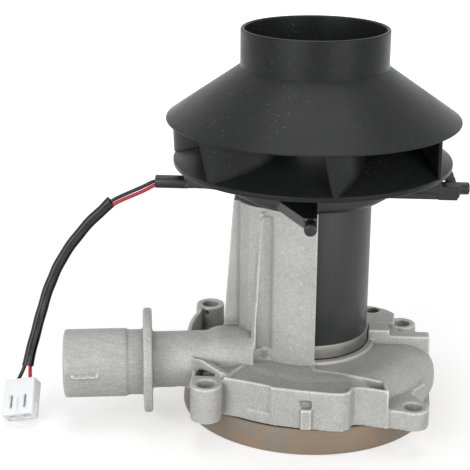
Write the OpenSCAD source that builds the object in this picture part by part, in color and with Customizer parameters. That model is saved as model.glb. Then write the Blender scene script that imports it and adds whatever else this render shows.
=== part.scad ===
/* [Fan wheel] */
// Diameter of the shroud over its rim
shroud_d = 106; // [104:0.5:107]
// Diameter of the inlet neck
neck_d = 53; // [51:0.5:55]
// Height of the neck's rim above the base
wheel_top = 143; // [141:0.5:146]
// Wall thickness of the wheel's mouldings
wheel_wall = 1.4; // [1.2:0.1:1.6]
// Diameter of the back plate
back_plate_d = 101; // [99:0.5:102]
// Number of blades
blade_count = 7; // [5:1:9]
// Thickness of a blade
blade_t = 1.2; // [1:0.1:1.6]
// Angle that a blade sweeps from its tip to its root
blade_sweep = 30; // [15:1:35]
// Angle that the top of a blade's tip trails its foot
blade_lean = 4; // [0:0.5:6]

/* [Motor] */
// Diameter of the motor's can
can_d = 42.8; // [42:0.1:43]
// Height of the can's top above the base
can_top = 84; // [83.5:0.1:84]
// Diameter of the shaft
shaft_d = 5; // [4.5:0.1:5]
// Number of slots in the armature
armature_slots = 10; // [6:2:12]

/* [Bracket] */
// Diameter of the bracket's cup
cup_d = 60; // [58:0.5:61]
// Diameter of the pins on the arms
pin_d = 4.4; // [4:0.1:5]
// Distance from the axis to the end of the pin on the right
pin_reach = 57.3; // [56.5:0.1:58]
// Distance from the axis to the ends of the pins at the front and the rear
front_reach = 51.8; // [51:0.1:57]

/* [Housing] */
// Diameter of the mounting flange
flange_d = 93; // [92.5:0.1:93.4]
// Diameter of the dome over the air channel
dome_d = 90; // [88:0.5:91]
// Height of the rim that stands round the front deck
rim_top = 24.7; // [24.4:0.1:25]
// Height of the deck's floor
deck_floor = 23.3; // [22.5:0.1:23.6]
// Thickness of the rim walls
rim_t = 1.3; // [1:0.1:1.6]
// Diameter of the screw holes
hole_d = 6.6; // [6.4:0.1:6.8]
// Diameter of the screw bosses
boss_d = 11.3; // [11:0.1:12]
// Height of the cradle wall beside the motor
cradle_top = 82; // [80:0.5:83]

/* [Inlet pipe] */
// Angle that the pipe turns towards the front
pipe_turn = 7.5; // [5:0.5:10]
// Distance from the fan's axis to the pipe's axis
pipe_offset = 12; // [11:0.5:13]
// Distance along the pipe from the fan's axis to the mouth
pipe_reach = 90.7; // [88:0.1:92]
// Diameter of the mouth
mouth_d = 26.3; // [26:0.1:26.6]
// Diameter of the stem between the collar and the housing
stem_d = 21.6; // [21.2:0.1:22]
// Diameter of the collar
collar_d = 40; // [38:0.5:41]

/* [Bottom cover] */
// Diameter of the cover
cover_d = 93; // [92.5:0.1:93.4]
// Diameter of the outlet for combustion air
outlet_d = 12; // [10:0.5:12]

/* [Lead] */
// Diameter of a wire
wire_d = 1.4; // [1.2:0.1:1.5]
// Diameter of the sleeve over the wires
sleeve_d = 4.3; // [4:0.1:4.6]

/* [Hidden] */
$fn = 96;
eps = 0.01;
run_gap = 0.03;

// Heights of the wheel
neck_foot = 130;
rim_z = 112.4;
rim_drop = 1;
plate_top = 97.1;
plate_t = 2.2;
hub_slope = 0.5;
hub_top_r = 12;
hub_r = 6.5;
hub_z = 95;
shaft_r = shaft_d / 2;
shroud_r = shroud_d / 2;
neck_r = neck_d / 2;
plate_r = back_plate_d / 2;
cone_slope = (neck_foot - rim_z) / (shroud_r - neck_r);
cone_drop = wheel_wall * sqrt(1 + cone_slope * cone_slope);
blade_first = 278;
blade_root_r = 28;
blade_steps = 12;
peg_d = 1.6;
peg_r = 48.4;

// Heights of the motor
can_r = can_d / 2;
can_wall = 1.4;
can_foot = 24;
cap_t = 3;
bearing_r = 5.5;
bearing_t = 5;
core_r = 15.6;
core_z = [45, 73];
magnet_r = [16.3, can_r - can_wall];
commutator_r = 5.5;
commutator_z = [30, 38];
brush_z = 34;
brush_size = [8, 4, 4.6];
brush_gap = 0.05;
brush_x = commutator_r + brush_gap;
spring_end = can_r - can_wall - 0.6;

// Bracket
cup_z = 84;
cup_h = 7;
cup_floor = 2.4;
cup_wall = 2;
arm_z = 85.1;
arm_h = 4;
arm_end = 47;
bracket_screw_r = 15;
bracket_screw_d = 3;
rear_pin_d = 3.6;
tube_d = 4.9;
tube_bore = 3.8;
tube_start = 45.5;
tube_end = 57.5;

// Housing
flange_z = 10;
flange_r = flange_d / 2;
flange_t = 4;
dome_r = dome_d / 2;
dome_x = 3.5;
dome_top = 24;
dome_round = 12;
boss_r = boss_d / 2;
front_left = [-35.5, -41];
front_right = [37.7, -41];
back_left = [-40, 33.5];
back_right = [38, 34];
boss_top = [23.5, 17.2, 23.5, 17];
bosses = [front_left, front_right, back_left, back_right];
cradle_r = [22.9, 25.2];
rib_turn = 228;
hub_bore = 10;
channel_r = 32;
channel_tube = 6.5;
channel_z = 13.4;
chamber_r = 38.6;
channel_start = 203;
channel_angle = 330;
inlet_angle = 209;
outlet_angle = 166;
seat_z = 25.3;
seal_t = 0.3;
ring_t = 5.1;
ring_r = 22.65;

// Pipe, measured along its own axis from the foot of the fan's axis
stem_z = 23.3;
pipe_z = 21.3;
collar_s = [57.7, 61];
collar_edge = 0.6;
neck_s = 66.9;
stem_s = 21;
pipe_wall = 2;
neck_pipe_d = 25.3;

// Bottom cover
cover_r = cover_d / 2;
cover_h = 9.4;
cover_floor = 5.6;
cover_tube = 4;
screw_r = 41.6;
screw_d = 3;
screw_head_d = 4.6;
screw_angles = [35, 125, 215, 305];

// Lead: the middle line of the sleeve, then the ends of both wires
wire_side = 0.75;
sleeve_route = [
    [-74, -1.5, 77], [-79.5, -2, 72], [-84.5, -3, 67], [-89.5, -4, 60.5], [-93, -5, 55], [-95.5, -6, 49.5],
    [-98, -7.5, 44], [-100, -9.5, 37], [-101.5, -12, 30.5], [-103, -15.5, 24.5], [-104.5, -19, 17.5]
];
black_start = [
    [-50, 0, 85.6], [-57.6, 0, 85.5], [-59.2, -0.1, 84.6], [-61.6, -0.3, 83.3],
    [-65.2, -0.5, 81.7], [-70, -1, 79.5]
];
red_start = [
    [-50, 0, 84.1], [-57.6, 0, 84], [-59, -0.1, 82.95], [-61.2, -0.3, 81.7],
    [-64.8, -0.5, 80.1], [-69, -1, 78.2]
];
black_end = [[-106.5, -20.5, 15], [-108, -22.4, 12.2], [-107.9, -24.7, 10.3]];
red_end = [[-103, -21, 15.3], [-102.8, -23, 13.4], [-102.6, -25.3, 11.4]];
plug_pos = [-104.7, -33.4, 3.65];
plug_turn = -10.5;
plug_tilt = -49;
plug_lean = -4.5;
plug_size = [12, 6.3, 14];
way_x = 2.7;

// Small helpers
function unit(v) = v / norm(v);
function polar(r, a) = [r * cos(a), r * sin(a)];
function arc_points(centre, r, a0, a1, steps) =
    [for (i = [0:steps]) centre + polar(r, a0 + (a1 - a0) * i / steps)];

// Outline moved inwards by d, for a list of points that runs anticlockwise
function inward(points, d) = [
    for (i = [0:len(points) - 1])
        let (
            n = len(points),
            p = points[i],
            u = unit(p - points[(i + n - 1) % n]),
            v = unit(points[(i + 1) % n] - p),
            m = unit([-u[1] - v[1], u[0] + v[0]]),
            reach = d / max(0.5, m * [-v[1], v[0]])
        )
        p + m * reach
];

// Direction of a route at point i
function heading(route, i) =
    unit(route[min(i + 1, len(route) - 1)] - route[max(i - 1, 0)]);

// Side direction of a route at point i: to the left and up, square to the run
function route_side(route, i) = unit(cross([0, 1, 0], heading(route, i)));

// Round tube along a route
module tube_along(route, r, sides = 8) {
    n = len(route);
    points = [
        for (i = [0:n - 1])
            let (a = route_side(route, i), b = cross(heading(route, i), a))
            for (k = [0:sides - 1])
                route[i] + r * (cos(360 * k / sides) * a + sin(360 * k / sides) * b)
    ];
    walls = [
        for (i = [0:n - 2], k = [0:sides - 1])
            let (a = i * sides + k, b = i * sides + (k + 1) % sides)
            [a, b, b + sides, a + sides]
    ];
    first = [for (k = [sides - 1:-1:0]) k];
    last = [for (k = [0:sides - 1]) (n - 1) * sides + k];
    polyhedron(points, concat([first], walls, [last]));
}

module ring(r_out, r_in, z0, z1) {
    translate([0, 0, z0]) difference() {
        cylinder(r = r_out, h = z1 - z0);
        translate([0, 0, -1]) cylinder(r = r_in, h = z1 - z0 + 2);
    }
}

module prism(points, z0, z1) {
    translate([0, 0, z0]) linear_extrude(z1 - z0) polygon(points);
}

// Height of the back plate's upper face, and of the shroud's inner face, at radius r
function floor_z(r) = plate_top + (plate_r - r) * hub_slope;
function roof_z(r) = rim_z - cone_drop + (shroud_r - r) * cone_slope;

// Fan wheel
module fan_shroud() {
    tip = wheel_wall / 2;
    outer = concat(
        arc_points([neck_r - tip, wheel_top - tip], tip, 180, 0, 8),
        [[neck_r, neck_foot + 1.2], [neck_r + 0.4, neck_foot + 0.4]],
        [[neck_r + 1.2, neck_foot - 0.8 * cone_slope], [shroud_r - 0.3, rim_z + 0.2]],
        [[shroud_r, rim_z - 0.2], [shroud_r, rim_z - rim_drop], [shroud_r - 0.4, rim_z - rim_drop - 0.3]]
    );
    inner_r = neck_r - wheel_wall;
    inner = [[shroud_r - 1, roof_z(shroud_r - 1)], [inner_r, roof_z(inner_r)]];
    color("#3c3d3f") rotate_extrude($fn = 180) polygon(concat(outer, inner));
}

// Plan angle of a blade's middle line, where t runs from 0 at the tip to 1 at the root
function blade_angle(t) = blade_first + blade_sweep * pow(t, 0.85);
function blade_foot(t) = polar(plate_r - 0.2 - t * (plate_r - 0.2 - blade_root_r), blade_angle(t));
function blade_head(t) =
    polar(shroud_r - 0.8 - t * (shroud_r - 0.8 - blade_root_r + 0.6), blade_angle(t) - blade_lean * (1 - t));
function blade_normal(t) =
    let (a = blade_foot(max(t - 0.02, 0)), b = blade_foot(min(t + 0.02, 1)), u = unit(b - a)) [-u[1], u[0]];
function at_height(p, z) = [p[0], p[1], z];

module blade() {
    n = blade_steps;
    points = [
        for (i = [0:n])
            let (t = i / n, side = blade_normal(t) * blade_t / 2, low = blade_foot(t), high = blade_head(t))
            each [
                at_height(low - side, floor_z(norm(low))),
                at_height(low + side, floor_z(norm(low))),
                at_height(high + side, roof_z(norm(high))),
                at_height(high - side, roof_z(norm(high)))
            ]
    ];
    walls = [
        for (i = [0:n - 1], k = [0:3])
            let (a = 4 * i + k, b = 4 * i + (k + 1) % 4)
            each [[a, b, b + 4], [a, b + 4, a + 4]]
    ];
    ends = [[3, 2, 1], [3, 1, 0], [4 * n, 4 * n + 1, 4 * n + 2], [4 * n, 4 * n + 2, 4 * n + 3]];
    polyhedron(points, concat(walls, ends));
}

module fan_blades() {
    color("#404143") for (k = [0:blade_count - 1]) rotate([0, 0, 360 * k / blade_count]) blade();
}

module fan_back_plate() {
    under = plate_top - plate_t;
    top_z = floor_z(hub_top_r);
    profile = [
        [plate_r - 0.5, under], [plate_r, under + 0.5], [plate_r, plate_top - 0.3],
        [plate_r - 0.3, plate_top], [plate_r - 0.6, floor_z(plate_r - 0.6)], [hub_top_r, top_z], [hub_r + 1, top_z + 1.6],
        [shaft_r, top_z + 2], [shaft_r, hub_z], [hub_r - 0.5, hub_z], [hub_r, hub_z + 0.5],
        [hub_r, top_z - 1.4], [hub_top_r - 1, top_z - plate_t], [plate_r - 4, under]
    ];
    color("#444547") {
        rotate_extrude($fn = 180) polygon(profile);
        for (k = [0:blade_count - 1]) rotate([0, 0, blade_first + 2.4 + 360 * k / blade_count])
            translate([peg_r, 0, under - 0.5]) cylinder(d = peg_d, h = plate_t + 1.8, $fn = 24);
    }
}

module hub_cap() {
    z = floor_z(hub_top_r) + 2;
    color("#8d8f92") difference() {
        translate([0, 0, z]) rotate_extrude() polygon([[0, 0], [4.6, 0], [4.6, 1.4], [3.4, 3.2], [0, 3.6]]);
        translate([0, 0, z - 1]) cylinder(r = shaft_r, h = 3);
    }
}

// Rotor of the motor
module shaft() {
    top = floor_z(hub_top_r) + 4;
    color("#b9bcc0") translate([0, 0, 4]) rotate_extrude($fn = 48)
        polygon([
            [0, 0], [shaft_r - 0.4, 0], [shaft_r, 0.4], [shaft_r, 0.6], [shaft_r - 0.5, 0.6],
            [shaft_r - 0.5, 1.4], [shaft_r, 1.4], [shaft_r, top - 4.4], [shaft_r - 0.4, top - 4], [0, top - 4]
        ]);
}

module armature_core() {
    slot_r = 9;
    color("#6d6f73") translate([0, 0, core_z[0]]) linear_extrude(core_z[1] - core_z[0]) difference() {
        circle(r = core_r);
        circle(r = shaft_r);
        for (k = [0:armature_slots - 1]) rotate(360 * k / armature_slots) {
            translate([slot_r + 2.6, 0]) circle(r = 1.9, $fn = 32);
            translate([slot_r + 3, -0.6]) square([5, 1.2]);
        }
    }
}

module armature_windings() {
    color("#b5652f") {
        for (z = [core_z[0] - 5, core_z[1]]) translate([0, 0, z]) rotate_extrude()
            polygon([[6, 0.6], [7, 0], [13.4, 0], [14.4, 1.2], [14.4, 3.8], [13.4, 5], [7, 5], [6, 4.4]]);
        for (k = [0:armature_slots - 1]) rotate([0, 0, 360 * k / armature_slots])
            translate([11.6, 0, core_z[0] - 1]) cylinder(r = 1.7, h = core_z[1] - core_z[0] + 2, $fn = 24);
    }
}

module commutator() {
    bar_gap = 0.4;
    color("#c07a45") difference() {
        union() {
            ring(commutator_r, shaft_r, commutator_z[0], commutator_z[1]);
            ring(commutator_r + 1, shaft_r, commutator_z[1], commutator_z[1] + 1.4);
        }
        for (k = [0:armature_slots - 1]) rotate([0, 0, 360 * k / armature_slots])
            translate([commutator_r - 0.8, -bar_gap / 2, commutator_z[0] - 1]) cube([3, bar_gap, 9]);
    }
}

module channel_impeller() {
    vanes = 30;
    vane_t = 1.4;
    disc_z = 6.2;
    disc_h = 6.6;
    web_t = 1.6;
    rim_r = chamber_r - 0.6;
    inner_r = 26;
    pocket_h = (disc_h - web_t) / 2;
    color("#a7a9ab") difference() {
        translate([0, 0, disc_z]) rotate_extrude($fn = 180) polygon([
            [shaft_r, -0.4], [7, -0.4], [7, 1.4], [22, 1.4], [23.5, 0], [rim_r, 0], [rim_r, disc_h],
            [23.5, disc_h], [22, disc_h - 1.4], [7, disc_h - 1.4], [7, disc_h], [shaft_r, disc_h]
        ]);
        for (z = [disc_z - 1, disc_z + disc_h - pocket_h]) translate([0, 0, z]) linear_extrude(pocket_h + 1)
            difference() {
                circle(r = rim_r + 2);
                circle(r = inner_r);
                for (k = [0:vanes - 1]) rotate(360 * k / vanes)
                    translate([inner_r - 1, -vane_t / 2]) square([rim_r - inner_r + 6, vane_t]);
            }
    }
}

module impeller_clip() {
    color("#c9cbce") difference() {
        ring(shaft_r + 1.9, shaft_r - 0.5, 4.7, 5.3);
        translate([0, -1.6, 4]) cube([8, 3.2, 3]);
    }
}

// Motor
module motor_can() {
    vent_d = 3;
    h = can_top - can_foot;
    seat_h = h - bearing_t - 0.4;
    color("#2f3032") difference() {
        translate([0, 0, can_foot]) rotate_extrude($fn = 180) polygon([
            [can_r - can_wall, 0], [can_r, 0], [can_r, h - 1.2], [can_r - 1.2, h], [bearing_r, h],
            [bearing_r, seat_h], [bearing_r + 1.6, seat_h], [bearing_r + 1.6, h - can_wall],
            [can_r - can_wall, h - can_wall]
        ]);
        for (a = [45, 135, 225, 315]) rotate([0, 0, a]) translate([14, 0, can_top - 4])
            cylinder(d = vent_d, h = 6);
        for (a = [90, 270]) rotate([0, 0, a]) translate([bracket_screw_r, 0, can_top - 4])
            cylinder(d = bracket_screw_d, h = 6);
    }
}

module motor_end_cap() {
    color("#5b5d60") {
        ring(can_r - can_wall, bearing_r, can_foot, can_foot + cap_t);
        ring(bearing_r + 1.6, bearing_r, can_foot + cap_t - eps, can_foot + bearing_t);
    }
}

module field_magnets() {
    color("#4a4c50") for (a = [20, 200]) rotate([0, 0, a]) translate([0, 0, 42]) rotate_extrude(angle = 140)
        polygon([[magnet_r[0], 0], [magnet_r[1], 0], [magnet_r[1], 34], [magnet_r[0], 34]]);
}

module ball_bearing(z) {
    mid = (bearing_r + shaft_r) / 2;
    ring(bearing_r, mid + 0.5, z, z + bearing_t);
    ring(mid - 0.5, shaft_r + run_gap, z, z + bearing_t);
    ring(mid + 0.6, mid - 0.6, z + 0.8, z + bearing_t - 0.8);
}

module upper_bearing() {
    color("#b4b7ba") ball_bearing(can_top - bearing_t - 0.4);
}

module lower_bearing() {
    color("#b4b7ba") ball_bearing(can_foot);
}

// Brush gear
module brush_card() {
    card_z = 30.4;
    guide = [brush_size[0] + 2, brush_size[1] + 2.4, brush_size[2] + 2];
    color("#7d4a2c") difference() {
        union() {
            ring(can_r - can_wall, 8.2, card_z - 1.6, card_z);
            for (a = [0, 180]) rotate([0, 0, a])
                translate([8.4, -guide[1] / 2, card_z - eps]) cube([11.2, guide[1], guide[2]]);
        }
        for (a = [0, 180]) rotate([0, 0, a])
            translate([5, -brush_size[1] / 2 - 0.1, brush_z - brush_size[2] / 2 - 0.1])
                cube([spring_end - 5 + 0.2, brush_size[1] + 0.2, brush_size[2] + 0.2]);
    }
}

module brush() {
    translate([brush_x, -brush_size[1] / 2, brush_z - brush_size[2] / 2]) cube(brush_size);
}

module brush_left() {
    color("#2b2b2d") rotate([0, 0, 180]) brush();
}

module brush_right() {
    color("#2b2b2d") brush();
}

// Compression spring behind a brush, its turns as rings on one closed end
module brush_spring() {
    start = brush_x + brush_size[0];
    turns = 6;
    wire = 0.6;
    pitch = (spring_end - start) / turns;
    translate([start, 0, brush_z]) rotate([0, 90, 0]) {
        for (k = [0:turns]) translate([0, 0, k * pitch * (turns - wire / pitch) / turns])
            ring(1.8, 1.8 - wire, 0, wire);
        translate([-wire / 2 - 1.5, -wire / 2, 0]) cube([wire, wire, spring_end - start]);
    }
}

module brush_spring_left() {
    color("#b9bcc0") rotate([0, 0, 180]) brush_spring();
}

module brush_spring_right() {
    color("#b9bcc0") brush_spring();
}

// Bracket
module arm() {
    outline = [[cup_d / 2 - 3, -4.5], [arm_end, -pin_d / 2], [arm_end, pin_d / 2], [cup_d / 2 - 5, 9]];
    prism(outline, cup_z, cup_z + arm_h);
}

// Arm with a gusset on one side, as at the front
module gusset_arm() {
    outline = [[24, -13.4], [arm_end, -pin_d / 2], [arm_end, pin_d / 2], [24, pin_d / 2]];
    prism(outline, cup_z, cup_z + arm_h);
}

module pin(start, d, reach) {
    length = reach - start;
    translate([start, 0, arm_z]) rotate([0, 90, 0]) rotate_extrude($fn = 48)
        polygon([[0, 0], [d / 2, 0], [d / 2, length - 0.4], [d / 2 - 0.4, length], [0, length]]);
}

module arm_bracket() {
    block = [7.1, 5.4, 5.4];
    cup_r = cup_d / 2;
    color("#333436") difference() {
        union() {
            translate([0, 0, cup_z]) rotate_extrude($fn = 180) polygon([
                [9, 0], [cup_r - 1.6, 0], [cup_r - 0.4, 0.5], [cup_r, 1.6], [cup_r, cup_h],
                [cup_r - cup_wall, cup_h], [cup_r - cup_wall, cup_floor], [9, cup_floor]
            ]);
            for (a = [0, 180]) rotate([0, 0, a]) arm();
            for (a = [90, 270]) rotate([0, 0, a]) gusset_arm();
            pin(arm_end - 3, pin_d, pin_reach);
            rotate([0, 0, 270]) pin(arm_end, pin_d, front_reach);
            rotate([0, 0, 90]) pin(arm_end, rear_pin_d, front_reach);
            translate([arm_end - 0.4, -block[1] / 2, arm_z - block[2] / 2]) cube(block);
            translate([48, 1.6, arm_z + 2]) cube([3.6, 4, 3]);
        }
        for (a = [90, 270]) rotate([0, 0, a]) translate([bracket_screw_r, 0, cup_z - 1])
            cylinder(d = bracket_screw_d + 0.2, h = 8);
        translate([-arm_end - 1, 0, arm_z]) rotate([0, 90, 0])
            cylinder(d = tube_d, h = arm_end + 1 - tube_start);
    }
}

module bracket_screws() {
    color("#a9acb0") for (a = [90, 270]) rotate([0, 0, a]) translate([bracket_screw_r, 0, 0]) {
        translate([0, 0, cup_z + cup_floor]) cylinder(d = 5.5, h = 2);
        translate([0, 0, cup_z - can_wall]) cylinder(d = bracket_screw_d, h = cup_floor + can_wall + eps);
    }
}

module wire_tube() {
    color("#2a2b2d") translate([-tube_end, 0, arm_z]) rotate([0, 90, 0]) difference() {
        cylinder(d = tube_d, h = tube_end - tube_start);
        translate([0, 0, -1]) cylinder(d = tube_bore, h = tube_end - tube_start - 1);
    }
}

// Motor seat
module seat_ring() {
    color("#9fa0a0") ring(ring_r, can_r + 0.02, seat_z + seal_t, seat_z + seal_t + ring_t);
}

module seat_seal() {
    color("#1f1f20") ring(ring_r + 0.15, can_r + 0.02, seat_z, seat_z + seal_t);
}

// Housing
module along_pipe() {
    translate([0, -pipe_offset, 0]) rotate([0, 0, 180 + pipe_turn]) children();
}

module pipe_run(s0, s1, d, z) {
    translate([s0, 0, z]) rotate([0, 90, 0]) cylinder(d = d, h = s1 - s0);
}

module pipe_collar() {
    r = collar_d / 2;
    t = collar_s[1] - collar_s[0];
    translate([collar_s[0], 0, pipe_z]) rotate([0, 90, 0]) rotate_extrude($fn = 120) polygon([
        [0, 0], [r - collar_edge, 0], [r, collar_edge], [r, t - collar_edge], [r - collar_edge, t], [0, t]
    ]);
}

module inlet_pipe() {
    along_pipe() {
        pipe_run(stem_s, collar_s[0] + 1, stem_d, stem_z);
        pipe_collar();
        pipe_run(collar_s[1] - 1, neck_s + 1, neck_pipe_d, pipe_z);
        translate([neck_s, 0, pipe_z]) rotate([0, 90, 0]) rotate_extrude($fn = 120) polygon([
            [0, 0], [mouth_d / 2 - 0.4, 0], [mouth_d / 2, 0.4], [mouth_d / 2, pipe_reach - neck_s - 1],
            [mouth_d / 2 - 0.3, pipe_reach - neck_s - 0.3], [mouth_d / 2 - 1, pipe_reach - neck_s],
            [0, pipe_reach - neck_s]
        ]);
    }
}

module pipe_bore() {
    along_pipe() {
        pipe_run(collar_s[0] + 2, pipe_reach + 1, mouth_d - 2 * pipe_wall - 2, pipe_z);
        pipe_run(stem_s + 3, collar_s[0] + 3, stem_d - 2 * pipe_wall, stem_z);
    }
}

front_outline = [
    [-29.6, -38.4], [-19.6, -41.5], [-13.4, -43.8], [-12, -45.2], [-2, -47], [9, -48.5], [12.8, -48.5],
    [15.2, -46.8], [16.6, -43.2], [19.8, -42.9], [28.9, -45.3], [28.2, -36.9], [13.3, -30.4], [3.7, -28.3],
    [0, -20], [-20, -20], [-27, -32]
];
right_recess = [[17.4, -41.6], [20, -41.4], [27.5, -43.6], [26.9, -37.6], [15, -32.6]];
left_block = [
    [-41.2, -10], [-41.2, -41], [-35.5, -41], [-31.4, -37.6], [-28, -38], [-22, -30], [-20, -18], [-30, -10]
];
left_window = [[-39.9, -30], [-39.9, -34.6], [-31.4, -34.6], [-31.4, -32], [-35.4, -26.5], [-38.5, -26.5]];
left_web = [[-45.6, -24.4], [-42.9, -26.9], [-30.4, -36], [-27.6, -35.4], [-28.4, -33.6], [-43.4, -22.6]];
left_rim = [
    [-46.6, -3], [-46.8, 8], [-46.6, 15], [-45.8, 20.5], [-44.8, 24], [-45.6, 31], [-42.5, 31], [-43.3, 23],
    [-44.3, 19.5], [-45, 14.5], [-45.2, 8], [-45, -3]
];
right_wall = [[28, -3.2], [46, -3.2], [46, 2.2], [28, 2.2]];
clamp_block = [[20, -3.2], [30.8, -3.2], [30.4, 2.9], [20, 6.3]];
pocket_block = [[16, 14], [33.7, 14], [34.2, 24.4], [30.8, 28.2], [27.1, 30.4], [24, 31.4], [16, 31.4]];
front_right_shelf = [[26, -43.8], [37.7, -46.4], [43.2, -41], [43.2, -20], [26, -24]];
back_right_shelf = [[24, 41.5], [38, 39.6], [43.6, 34], [44, 18], [24, 18]];
back_left_shelf = [[-24, 42], [-40, 39.1], [-45.6, 33.5], [-45, 16], [-24, 20]];

// Dome over the air channel, cut low behind the wall on the right
module dome() {
    straight = dome_r - dome_round;
    difference() {
        translate([dome_x, 0, flange_z]) rotate_extrude($fn = 180) polygon(concat(
            [[0, 0], [dome_r, 0]],
            arc_points([straight, dome_top - dome_round - flange_z], dome_round, 0, 90, 16),
            [[0, dome_top - flange_z]]
        ));
        rotate_extrude(angle = 62, $fn = 180)
            polygon([[36.6, dome_top - 1.8], [39.6, 20], [41, 15], [60, 15], [60, 30], [36.6, 30]]);
    }
}

// Sloping web from the front deck up to the inlet pipe
module pipe_web() {
    slope = [
        [-48, flange_z], [-24, flange_z], [-24, rim_top - 0.6], [-28, rim_top], [-45.6, 29.4], [-48, 29.4]
    ];
    intersection() {
        prism(left_web, flange_z, 32);
        translate([0, -20, 0]) rotate([90, 0, 0]) linear_extrude(20) polygon(slope);
    }
}

module lug() {
    translate([-1.7, -48.9, flange_z + 0.4]) cube([3.7, 4, 8]);
}

module cradle_section() {
    difference() {
        union() {
            intersection() {
                circle(r = cradle_r[1], $fn = 180);
                polygon([[0, 0], [2.7, -24], [2.7, -30], [-40, -30], [-40, 40], [1, 40], [1, 0]]);
            }
            polygon([
                [-15, -19.4], [-18.6, -18.7], [-22, -16.6], [-25.2, -13], [-26.2, -10], [-26.2, 9], [-24, 14],
                [-15, 14]
            ]);
        }
        circle(r = cradle_r[0], $fn = 180);
    }
}

// Rib that grows out of the cradle's front towards its foot
module cradle_rib() {
    rib_t = 2.6;
    rotate([0, 0, rib_turn]) translate([0, rib_t / 2, 0]) rotate([90, 0, 0]) linear_extrude(rib_t) polygon([
        [24, flange_z + 8], [32.4, flange_z + 8], [31.8, 24], [30, 32], [27.8, 47], [25.9, 78], [26.6, 78.6],
        [26.4, 80], [24, 80.4]
    ]);
}

module cradle() {
    foot_z = flange_z + 8;
    translate([0, 0, foot_z]) linear_extrude(cradle_top - foot_z) cradle_section();
    translate([0, 8.6, 0]) rotate([90, 0, 0]) linear_extrude(19.2)
        polygon([[-24.2, foot_z], [-32.4, foot_z], [-31.6, 30], [-28, cradle_top], [-24.2, cradle_top]]);
    cradle_rib();
}

// Deck in front of the motor, with its sunk floor, its recess on the right and the lug on its wall
module front_deck() {
    difference() {
        prism(front_outline, flange_z, rim_top);
        prism(inward(front_outline, rim_t), deck_floor, 40);
        prism(right_recess, 19.5, 40);
        translate([-1.9, -60, 18.4]) cube([4.1, 12.6, 3]);
    }
    lug();
}

module housing_body() {
    translate([0, 0, flange_z]) cylinder(r = flange_r, h = flange_t, $fn = 180);
    dome();
    front_deck();
    for (i = [0:3]) translate([bosses[i][0], bosses[i][1], flange_z])
        cylinder(r = boss_r, h = boss_top[i] - flange_z);
    prism(left_block, flange_z, boss_top[0]);
    pipe_web();
    prism(right_wall, flange_z, 27.2);
    prism(clamp_block, flange_z, 29.4);
    prism(pocket_block, flange_z, 25.3);
    prism(front_right_shelf, flange_z, boss_top[1]);
    prism(back_right_shelf, flange_z, 14.5);
    prism(back_left_shelf, flange_z, 14.5);
    prism(left_rim, flange_z + 0.6, boss_top[2]);
    ring(cradle_r[1], hub_bore, flange_z, seat_z);
    inlet_pipe();
    cradle();
}

module blower_housing() {
    color("#a9aaa6") difference() {
        housing_body();
        prism(left_window, 14, 23.6);
        translate([25.4, 27, 20]) cylinder(r = 2.9, h = 10);
        translate([back_left[0] - 1, back_left[1] - boss_r - 1, 20.5]) rotate([-60, 0, 0])
            cylinder(d = 1.8, h = 3);
        for (p = bosses) translate([p[0], p[1], 0]) cylinder(d = hole_d, h = 40);
        translate([0, 0, seat_z]) cylinder(r = cradle_r[0], h = 80, $fn = 180);
        translate([0, 0, can_foot]) cylinder(r = can_r + 0.02, h = 5, $fn = 180);
        translate([0, 0, 0]) cylinder(r = 3.4, h = 40);
        translate([0, 0, 0]) cylinder(r = chamber_r, h = channel_z, $fn = 180);
        rotate([0, 0, channel_start]) translate([0, 0, channel_z]) rotate_extrude(angle = channel_angle)
            translate([channel_r, 0]) circle(r = channel_tube, $fn = 48);
        rotate([0, 0, inlet_angle]) translate([channel_r, 0, channel_z])
            cylinder(r = 6, h = stem_z - channel_z);
        pipe_bore();
        for (a = screw_angles) rotate([0, 0, a]) translate([screw_r, 0, 0])
            cylinder(d = screw_d, h = flange_z + 3);
    }
}

// Bottom cover
module bottom_cover() {
    round_r = 2.5;
    color("#8a7868") difference() {
        rotate_extrude($fn = 180) polygon(concat(
            [[0, 0]], arc_points([cover_r - round_r, round_r], round_r, -90, 0, 8),
            [[cover_r, cover_h - 0.3], [cover_r - 0.3, cover_h], [0, cover_h]]
        ));
        translate([0, 0, cover_floor]) cylinder(r = chamber_r, h = 10, $fn = 180);
        translate([0, 0, 2]) cylinder(r = 8, h = 10);
        rotate([0, 0, channel_start]) translate([0, 0, cover_floor]) rotate_extrude(angle = channel_angle)
            translate([channel_r, 0]) circle(r = cover_tube, $fn = 48);
        rotate([0, 0, outlet_angle]) translate([channel_r, 0, -1]) cylinder(d = outlet_d, h = 20);
        for (a = screw_angles) rotate([0, 0, a]) translate([screw_r, 0, -1]) {
            cylinder(d = screw_d, h = 20);
            cylinder(d = screw_head_d, h = 3.6);
        }
    }
}

module cover_gasket() {
    color("#3a3a38") difference() {
        ring(cover_r - 0.6, chamber_r + 0.4, cover_h, flange_z);
        for (a = screw_angles) rotate([0, 0, a]) translate([screw_r, 0, 0]) cylinder(d = screw_d, h = 20);
    }
}

module cover_screws() {
    socket_d = 2.6;
    color("#b7babd") for (a = screw_angles) rotate([0, 0, a]) translate([screw_r, 0, 0]) difference() {
        union() {
            translate([0, 0, 0.6]) cylinder(d = screw_head_d - 0.1, h = 2);
            translate([0, 0, 2.5]) cylinder(d = screw_d, h = flange_z);
        }
        translate([0, 0, 0]) cylinder(d = socket_d, h = 1.8, $fn = 6);
    }
}

// Lead
function beside(route, d) = [for (i = [0:len(route) - 1]) route[i] + d * route_side(route, i)];

module wire_black() {
    route = concat(black_start, beside(sleeve_route, wire_side), black_end);
    color("#1d1d1f") tube_along(route, wire_d / 2);
}

module wire_red() {
    route = concat(red_start, beside(sleeve_route, -wire_side), red_end);
    color("#c4283c") tube_along(route, wire_d / 2);
}

module lead_sleeve() {
    color("#242426") tube_along(sleeve_route, sleeve_d / 2);
}

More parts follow.
